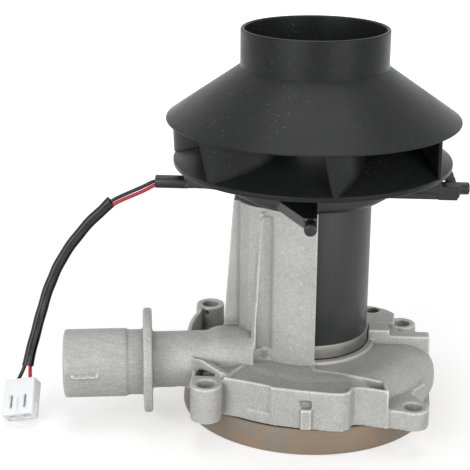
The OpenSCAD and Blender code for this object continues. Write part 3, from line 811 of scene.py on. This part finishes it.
def sleeve_mesh(route, diameter):
    """The soft sleeve: flattened over its two wires, a little uneven, and open at both ends."""
    line = flowing(route, 5)
    across = sides(line)
    run = headings(line)
    last = len(line) - 1
    steps = 32
    spare = 0.08 * MM
    wall = 0.42 * MM
    tilts = {0: -0.4 * MM, last: 0.3 * MM}

    def ring(i, depth):
        """One ring of the sleeve's skin, at a depth under its outside."""
        share = i / last
        points = []
        for k in range(steps):
            angle = math.tau * k / steps
            level, rise = math.cos(angle), math.sin(angle)
            wave = 0.07 * math.sin(share * 41 + 2 * level) + 0.06 * math.sin(share * 17 + angle)
            flare = 0.35 * max(0, 1 - i / 3) * max(0, level) + 0.12 * max(0, 1 - (last - i) / 3)
            wide = diameter / 2 - spare - depth + (flare + wave) * MM
            deep = wide * (0.84 - 0.13 * math.exp(-((level / 0.32) ** 2)))
            point = line[i] + across[i] * (wide * level) + run[i].cross(across[i]) * (deep * rise)
            points.append(point + run[i] * (tilts.get(i, 0) * level))
        return points

    rings = [ring(i, 0) for i in range(last + 1)] + [ring(i, wall) for i in range(last, -1, -1)]
    faces = []
    for i in range(len(rings)):
        here = i * steps
        after = (i + 1) % len(rings) * steps
        for k in range(steps):
            beside = (k + 1) % steps
            faces.append((here + k, here + beside, after + beside, after + k))
    shell = bpy.data.meshes.new("lead_sleeve_tube")
    shell.from_pydata([tuple(point) for points in rings for point in points], [], faces)
    piece = bpy.data.objects.new("lead_sleeve_tube", shell)
    bpy.context.collection.objects.link(piece)
    edit(piece)
    turn_outward()
    shade(piece, 50)
    return piece


class BLOWER_OT_lead(bpy.types.Operator):
    """Lay both wires and their sleeve from the bracket's tube to the plug"""

    bl_idname = "blower.lead"
    bl_label = "Lead"

    def execute(self, context):
        diameter = sizes().wire_diameter
        route = [Vector(p) * MM for p in SLEEVE_ROUTE]
        across = sides(route)
        sleeve = sleeve_mesh(route, sizes().sleeve_diameter)
        dress(sleeve, wire_skin("sleeve_black", (0.004, 0.0041, 0.0045), 0.22, 0.4))
        keep(sleeve, "housing", "lead_sleeve")
        plug = plug_body()
        for kind, start, end, way, colour in (
            ("black", BLACK_START, BLACK_END, 1, (0.003, 0.003, 0.0033)),
            ("red", RED_START, RED_END, -1, colours().red_wire),
        ):
            middle = [Vector(p) + side * way * WIRE_SIDE for p, side in zip(SLEEVE_ROUTE, across)]
            line = [Vector(p) * MM for p in (*start, *middle, *end)]
            node = "wire_" + kind
            skin = wire_skin(kind + "_wire_skin", colour, 0.26, 0.35)
            piece, length = wire(kind + "_wire", line, diameter, skin)
            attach(piece, "housing")
            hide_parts(node)
        return {"FINISHED"}


def plug_body():
    """The plug's nylon housing, with its terminals dressed."""
    dress_nodes(plug_terminals=plain_metal("tinned_brass", (0.62, 0.6, 0.55), 0.25))
    nylon = milky_nylon("plug_nylon", colours().plug)
    return fitted("plug_housing", "plug_shell", nylon, "plug_nylon", width=0.3)


# Fan wheel


def wheel_moulding(piece, node, degrees):
    """Puts a moulding of the wheel in its CAD node's place, in the plastic that all of them share."""
    name = "dusty_wheel_plastic"
    plastic = bpy.data.materials.get(name) or moulded_plastic(name, colours().wheel, 0.34, dust=0.4)
    shade(piece, degrees)
    dress(piece, plastic)
    keep(piece, "rotor", node)


class BLOWER_OT_fan_shroud(bpy.types.Operator):
    """Turn the wheel's shroud with its neck, fillet and rim"""

    bl_idname = "blower.fan_shroud"
    bl_label = "Fan shroud"

    def execute(self, context):
        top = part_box("fan_shroud")[1].z / MM
        inner = NECK_R - 1.4
        lip = 0.5
        outline = [
            (NECK_R, top), (NECK_R, NECK_FOOT), (SHROUD_R, RIM_Z), (SHROUD_R, RIM_Z - lip),
            (SHROUD_R - lip, ROOF_Z + lip * ROOF_SLOPE),
            (inner, ROOF_Z + (SHROUD_R - inner) * ROOF_SLOPE), (inner, top),
        ]
        outline = softened(outline, {0: 0.66, 1: 0.7, 2: 0.25, 3: 0.2, 5: 1.0, 6: 0.66}, 6)
        wheel_moulding(turned("shroud_moulding", outline, 180), "fan_shroud", 30)
        return {"FINISHED"}


class BLOWER_OT_fan_blades(bpy.types.Operator):
    """Bend one blade, thicken it, round its edges and set copies round the wheel"""

    bl_idname = "blower.fan_blades"
    bl_label = "Fan blades"

    def execute(self, context):
        count = sizes().blade_count
        steps, rows = 24, 8
        sweep, bend, lean = 30, 0.85, 4
        plate_r, shroud_r, root_r, head_in, sunk = 50.6, 52.2, 28.0, 0.6, 0.35

        def place(t, up):
            """Point of the blade's middle, t from tip to root and up from foot to head."""
            turn = BLADE_START + sweep * t**bend
            foot_r = plate_r - t * (plate_r - root_r)
            head_r = shroud_r - t * (shroud_r - root_r + head_in)
            foot = around(foot_r, turn, PLATE_TOP + (PLATE_R - foot_r) * FLOOR_SLOPE - sunk)
            head = around(head_r, turn - lean * (1 - t), ROOF_Z + (SHROUD_R - head_r) * ROOF_SLOPE + sunk)
            return (foot + (head - foot) * up) * MM

        feet = [place(k / steps, 0) for k in range(steps + 1)]
        blade = traced("wheel_blades", feet)
        edit(blade)
        for _ in range(rows):
            bpy.ops.mesh.extrude_region_move(TRANSFORM_OT_translate={"value": (0, 0, MM)})
        put_down()
        for vertex in blade.data.vertices:
            k = min(range(steps + 1), key=lambda i: (feet[i].xy - vertex.co.xy).length)
            vertex.co = place(k / steps, round((vertex.co.z - feet[k].z) / MM) / rows)
        modify(blade, "SOLIDIFY", thickness=sizes().blade_thickness, offset=0, use_even_offset=True)
        modify(
            blade, "BEVEL", width=0.2 * MM, segments=2, limit_method="ANGLE", angle_limit=math.radians(60),
            use_clamp_overlap=True,
        )
        edit(blade)
        turn_outward()
        copies = []
        for k in range(1, count):
            pick(blade)
            bpy.ops.object.duplicate()
            other = bpy.context.active_object
            other.rotation_euler.z = math.tau * k / count
            copies.append(settle(other))
        join(blade, copies)
        wheel_moulding(blade, "fan_blades", 40)
        return {"FINISHED"}


class BLOWER_OT_back_plate(bpy.types.Operator):
    """Turn the back plate with its hub, and set the melted pegs of the blades in it"""

    bl_idname = "blower.back_plate"
    bl_label = "Back plate"

    def execute(self, context):
        count = sizes().blade_count
        bore_r, sleeve_r, sleeve_foot, bevel = 2.52, 6.5, 95, 0.7
        outline = [
            (PLATE_R, PLATE_UNDER), (PLATE_R, PLATE_TOP),
            (PLATE_R - bevel, PLATE_TOP + bevel * FLOOR_SLOPE), (HUB_R, HUB_CREST), (7.5, HUB_CREST + 1.6),
            (bore_r, HUB_CREST + 2), (bore_r, sleeve_foot), (sleeve_r, sleeve_foot),
            (sleeve_r, HUB_CREST - 1.4), (HUB_R - 1, HUB_CREST - 2.2), (PLATE_R - 4, PLATE_UNDER),
        ]
        outline = softened(outline, {0: 0.5, 1: 0.4, 2: 0.4, 3: 2.0, 4: 1.0, 7: 0.5, 8: 0.8, 9: 2.0, 10: 1.5})
        plate = turned("hub_moulding", outline, 180)
        peg_r, peg_circle, peg_turn = 1.1, 48.4, 2.4
        pegs = []
        for k in range(count):
            put_down()
            bpy.ops.mesh.primitive_uv_sphere_add(
                segments=20, ring_count=10, radius=peg_r * MM,
                location=around(peg_circle, BLADE_START + peg_turn + 360 * k / count, PLATE_UNDER) * MM,
            )
            peg = bpy.context.active_object
            peg.scale.z = 0.45
            pegs.append(settle(peg))
        join(plate, pegs)
        wheel_moulding(plate, "fan_back_plate", 32)
        return {"FINISHED"}


# Motor


class BLOWER_OT_rotor(bpy.types.Operator):
    """Finish the shaft, hub cap, armature, commutator and channel impeller"""

    bl_idname = "blower.rotor"
    bl_label = "Rotor inside"

    def execute(self, context):
        zinc = plain_metal("bright_steel", (0.6, 0.61, 0.63), 0.3)
        fitted("hub_cap", "hub_nut_cap", zinc, "bright_steel", width=0.3, angle=30, body="rotor")
        dress_nodes(
            shaft=turned_metal("ground_shaft", (0.62, 0.63, 0.65), 0.18, 5),
            impeller_clip=zinc,
            armature_core=stacked_sheet("laminations", (0.36, 0.37, 0.39)),
            armature_windings=wound_copper("enamelled_copper", (0.55, 0.22, 0.08)),
            commutator=turned_metal("copper_bars", (0.72, 0.38, 0.22), 0.26, 6),
            channel_impeller=plain_metal("impeller_aluminium", (0.5, 0.51, 0.52), 0.4),
        )
        return {"FINISHED"}


class BLOWER_OT_motor(bpy.types.Operator):
    """Finish the motor's can, end cap, magnets, bearings and brush gear"""

    bl_idname = "blower.motor"
    bl_label = "Motor"

    @staticmethod
    def wider(place):
        """Brings the can's outside to the seat ring, as in the photograph."""
        outside, growth = 20.9, 0.75
        radius = place.xy.length
        if radius < outside:
            return place
        share = 1 + growth / radius
        return (place.x * share, place.y * share, place.z)

    def execute(self, context):
        black = black_coat("black_can", colours().can)
        fitted(
            "motor_can", "drawn_can", black, "black_can", width=0.25, angle=35, segments=2, rule=self.wider
        )
        races = turned_metal("bearing_races", (0.6, 0.61, 0.62), 0.16, 7)
        carbon = dull_solid("carbon", (0.03, 0.03, 0.031), 0.55, 0.02)
        spring = plain_metal("spring_steel", (0.55, 0.56, 0.58), 0.28)
        dress_nodes(
            motor_end_cap=turned_metal("end_cap_metal", (0.45, 0.46, 0.47), 0.36, 2),
            field_magnets=dull_solid("ferrite", (0.07, 0.07, 0.075), 0.5, 0.02),
            upper_bearing=races, lower_bearing=races,
            brush_card=dull_solid("phenolic", (0.2, 0.09, 0.04), 0.45, 0.02),
            brush_left=carbon, brush_right=carbon,
            brush_spring_left=spring, brush_spring_right=spring,
        )
        return {"FINISHED"}


class BLOWER_OT_bracket(bpy.types.Operator):
    """Mould the arm bracket with soft edges, and finish its wire tube and screws"""

    bl_idname = "blower.bracket"
    bl_label = "Arm bracket"

    def execute(self, context):
        grid = 0.00036
        deep_arm = block((21, 4.4, 3.2), (36.5, 0, 82.9))
        left_arm = block((20, 5.2, 1.4), (-36.5, 0, 84.1))
        cup_foot = turned("cup_foot", [(22.3, 83), (27.4, 83), (28.6, 84.4), (22.3, 84.4)], 96)
        clamp = block((7, 5.4, 3), (49.55, 0, 82.7))
        ledge = block((3.5, 3.2, 2.8), (50.6, 2.9, 86.9))
        right_pin = rod(2.2, (51.2, 0, 85.3), 11.8, (0, math.radians(90), 0))
        over_clamp = block((8.2, 6.2, 2.2), (50.8, 0, 87.6))
        bracket = cast(
            "arm_bracket", "arm_moulding", grid, 3, 0.4,
            added=(deep_arm, left_arm, cup_foot, clamp, ledge, right_pin), cut=(over_clamp,),
        )
        dress(bracket, moulded_plastic("bracket_plastic", colours().bracket, 0.36, grain=0.02, shine=0.42))
        keep(bracket, "housing", "arm_bracket")
        rubber = wire_skin("outlet_rubber", (0.006, 0.006, 0.0064), 0.4)
        fitted("wire_tube", "wire_outlet", rubber, "sleeve_black", width=0.25)
        zinc = plain_metal("screw_zinc", (0.6, 0.6, 0.58), 0.3)
        fitted("bracket_screws", "bracket_screw_pair", zinc, "bright_steel", width=0.3)
        return {"FINISHED"}


# Housing


def flash_line():
    """The mould's parting line on the front of the pipe's mouth, with both ends turned up."""
    front = 13.1
    line, end = (10, 1.7, 0.7), (0.7, 1.7, 1.4)
    parts = []
    for reach, size, up in ((82.4, line, 0), (77.6, end, 0.4), (87.2, end, 0.4)):
        level = Vector((0, 0, MOUTH_Z + up))
        parts.append(block(size, PIPE_START + PIPE_ALONG * reach + PIPE_OUT * front + level, PIPE_TURN))
    return parts


def slimmed(here, axis, share, rise=0):
    """Scales a place across the pipe about an axis at a height, and lifts it."""
    return Vector((here.x * share, axis + rise + (here.y - axis) * share))


def true_pipe(place):
    """Brings the pipe to its sizes in the photograph: each length scaled about its own axis, and moved."""
    offset = place - PIPE_START
    reach = offset.dot(PIPE_ALONG)
    if reach < STEM_START:
        return place
    here = Vector((offset.dot(PIPE_OUT), place.z))
    as_stem = slimmed(here, STEM_Z, STEM_SHARE, STEM_RISE)
    if reach < COLLAR_START:
        from_axis = (here - Vector((0, STEM_Z))).length
        on_stem = ramp(reach, STEM_START, STEM_START + 5) * (1 - ramp(from_axis, 11.3, 13.5))
        here = here.lerp(as_stem, on_stem)
    else:
        from_axis = (here - Vector((0, MOUTH_Z))).length
        past_neck = ramp(reach, MOUTH_START, MOUTH_START + 1)
        as_mouth = slimmed(here, MOUTH_Z, NECK_SHARE + (MOUTH_SHARE - NECK_SHARE) * past_neck)
        as_collar = slimmed(here, MOUTH_Z, COLLAR_SHARE, COLLAR_RISE)
        past_stem = ramp(reach, COLLAR_START + 0.4, COLLAR_START + 3.4)
        collar_middle = COLLAR_START + 2.2
        on_collar = ramp(from_axis, 12.9, 14.5) * (1 - ramp(abs(reach - collar_middle), 3, 4))
        here = as_stem.lerp(as_mouth, past_stem).lerp(as_collar, on_collar)
    shorter = 0.6 * ramp(reach, 78, 90)
    moved = PIPE_START + PIPE_ALONG * (reach - shorter) + PIPE_OUT * here.x
    return (moved.x, moved.y, here.y)


class BLOWER_OT_housing(bpy.types.Operator):
    """Cast the housing with soft corners, the marks of its mould and a sandy skin"""

    bl_idname = "blower.housing"
    bl_label = "Housing casting"

    def execute(self, context):
        fins = [block((0.5, 1.4, 8.4), (x, -27.1, 18.4)) for x in (-37.5, -36.4, -35.3)]
        recess = block((4.2, 3, 2.8), (-0.1, -47.6, 19.4))
        valley = rod(3.0, around(27.3, 234.4, 54), 51)
        web_end = block((5.6, 9.4, 5.2), (-45.2, -24.6, 11.7))
        shelf_flank = block((13.7, 9, 9.5), (45.4, -34.1, 13.2), math.radians(-55.8))
        shelf_back = block((8, 11.5, 9.5), (44.8, -27, 13.2), math.radians(-37))
        casting = cast(
            "blower_housing", "housing_casting", sizes().casting_grid, sizes().casting_softness, 0.3,
            added=flash_line() + fins, cut=(recess, valley, web_end, shelf_flank, shelf_back),
            rule=true_pipe,
        )
        dress(casting, die_cast("die_cast", colours().casting))
        keep(casting, "housing", "blower_housing")
        return {"FINISHED"}


class BLOWER_OT_seat(bpy.types.Operator):
    """Finish the turned seat ring and the dark seal under it"""

    bl_idname = "blower.seat"
    bl_label = "Seat ring"

    def execute(self, context):
        # The seat ring's right side gets a painted dark reflection.
        steel = turned_metal("turned_steel", colours().seat_ring, 0.3, 3.2, metallic=0.8, painted_dark_side=0.7)
        fitted("seat_ring", "turned_ring", steel, "turned_steel", width=0.2)
        dress_nodes(seat_seal=dull_solid("seal_rubber", (0.006, 0.006, 0.006), 0.6))
        return {"FINISHED"}


class BLOWER_OT_cover(bpy.types.Operator):
    """Finish the bottom cover, its gasket and its screws"""

    bl_idname = "blower.cover"
    bl_label = "Bottom cover"

    @staticmethod
    def sharper(place):
        """Gives the disc's foot the small radius and the draft that the photograph shows."""
        disc_r, top, edge = 46.5, 9.4, 2.5
        radius = place.xy.length
        out, down = radius - (disc_r - edge), edge - place.z
        if out < -0.01:
            return place
        if down > 0:
            share = math.hypot(out, down) / max(out, down)
            out, down = out * share, down * share
        height = edge - down
        draft = 0.1 + 0.85 * (1 - height / top)
        wide = disc_r - edge + out + draft * min(1, out / edge)
        return (place.x * wide / radius, place.y * wide / radius, height)

    def execute(self, context):
        brown = lacquered_cover("bronzed_cover", colours().cover)
        fitted("bottom_cover", "bottom_disc", brown, "bronzed_cover", width=0.4, angle=35, rule=self.sharper)
        dress_nodes(cover_gasket=dull_solid("gasket_board", (0.02, 0.018, 0.016), 0.7))
        zinc = plain_metal("cover_screw_zinc", (0.58, 0.58, 0.56), 0.32)
        fitted("cover_screws", "cover_screw_set", zinc, "bright_steel", width=0.2, segments=2)
        return {"FINISHED"}


# Studio


def looked_at(tree):
    """1 for rays from the camera, off a gloss or through glass, and 0 for the light on the part."""
    rays = node_of(tree, "ShaderNodeLightPath").outputs
    direct = combined(tree, rays["Is Camera Ray"], rays["Is Glossy Ray"], "MAXIMUM")
    return combined(tree, direct, rays["Is Transmission Ray"], "MAXIMUM")


class BLOWER_OT_studio(bpy.types.Operator):
    """Lay the pale floor and set the lamps and the world"""

    bl_idname = "blower.studio"
    bl_label = "Studio"

    def lamp(self, name, power, size, place):
        """A square soft lamp that looks at the middle of the blower."""
        way = (Vector((0, 0, 0.06)) - Vector(place)).to_track_quat("-Z", "Y").to_euler()
        put_down()
        bpy.ops.object.light_add(type="AREA", location=place, rotation=way)
        lamp = bpy.context.active_object
        lamp.name = name
        lamp.data.energy = power
        lamp.data.shape = "SQUARE"
        lamp.data.size = size

    def floor(self):
        """Pale floor that keeps the shadow and meets the white background."""
        put_down()
        bpy.ops.mesh.primitive_plane_add(size=8, location=(0, 0, -0.0002))
        floor = settle(named("studio_floor"))
        finish, tree, shader = blank_finish("pale_floor")
        shader.inputs["Base Color"].default_value = (0.62, 0.62, 0.62, 1)
        shader.inputs["Roughness"].default_value = 0.9
        glow = node_of(tree, "ShaderNodeEmission")
        place = node_of(tree, "ShaderNodeTexCoord")
        away = node_of(tree, "ShaderNodeVectorMath", operation="LENGTH")
        tree.links.new(place.outputs["Object"], away.inputs[0])
        level = spread(tree, away.outputs["Value"], 0.12, 0.6, 0.5, 1.0)
        tree.links.new(combined(tree, looked_at(tree), level), glow.inputs["Strength"])
        both = node_of(tree, "ShaderNodeAddShader")
        tree.links.new(shader.outputs["BSDF"], both.inputs[0])
        tree.links.new(glow.outputs["Emission"], both.inputs[1])
        tree.links.new(both.outputs["Shader"], tree.nodes["Material Output"].inputs["Surface"])
        dress(floor, finish)

    def sky(self):
        """White to the camera and in reflections, and a plain level on everything else."""
        world = bpy.data.worlds.new("studio_world")
        bpy.context.scene.world = world
        world.use_nodes = True
        tree = world.node_tree
        ground = tree.nodes["Background"]
        ground.inputs["Color"].default_value = (1, 1, 1, 1)
        tree.links.new(spread(tree, looked_at(tree), 0, 1, 0.3, 1.0), ground.inputs["Strength"])

    def execute(self, context):
        studio = context.scene.blower_studio
        self.floor()
        self.sky()
        self.lamp("key_lamp", studio.key, 0.8, (-0.62, -0.95, 0.42))
        self.lamp("fill_lamp", studio.fill, 0.8, (0.75, -0.85, 0.36))
        self.lamp("top_lamp", studio.top, 0.7, (0.0, 0.15, 1.0))
        context.scene.view_settings.view_transform = "Standard"
        return {"FINISHED"}


STEPS = (
    BLOWER_OT_camera, BLOWER_OT_lead, BLOWER_OT_fan_shroud, BLOWER_OT_fan_blades, BLOWER_OT_back_plate,
    BLOWER_OT_rotor, BLOWER_OT_motor, BLOWER_OT_bracket, BLOWER_OT_housing, BLOWER_OT_seat, BLOWER_OT_cover,
    BLOWER_OT_studio,
)


class BLOWER_PT_panel(bpy.types.Panel):
    """Lists the blower's settings and building steps"""

    bl_idname = "BLOWER_PT_panel"
    bl_label = "Heater Blower"
    bl_space_type = "VIEW_3D"
    bl_region_type = "UI"
    bl_category = "Blower"

    def draw(self, context):
        for key, group in GROUPS:
            box = self.layout.box()
            for name in group.__annotations__:
                box.prop(getattr(context.scene, key), name)
        for step in STEPS:
            self.layout.operator(step.bl_idname)


GROUPS = (("blower_sizes", BlowerSizes), ("blower_colours", BlowerColours), ("blower_studio", BlowerStudio))


def register():
    for name, group in GROUPS:
        bpy.utils.register_class(group)
        setattr(bpy.types.Scene, name, PointerProperty(type=group))
    for part in (*STEPS, BLOWER_PT_panel):
        bpy.utils.register_class(part)


def unregister():
    for part in reversed((*STEPS, BLOWER_PT_panel)):
        bpy.utils.unregister_class(part)
    for name, group in reversed(GROUPS):
        delattr(bpy.types.Scene, name)
        bpy.utils.unregister_class(group)


def main():
    """Registers the classes and runs the steps in order."""
    register()
    for step in STEPS:
        family, name = step.bl_idname.split(".")
        getattr(getattr(bpy.ops, family), name)()


if __name__ == "__main__":
    main()
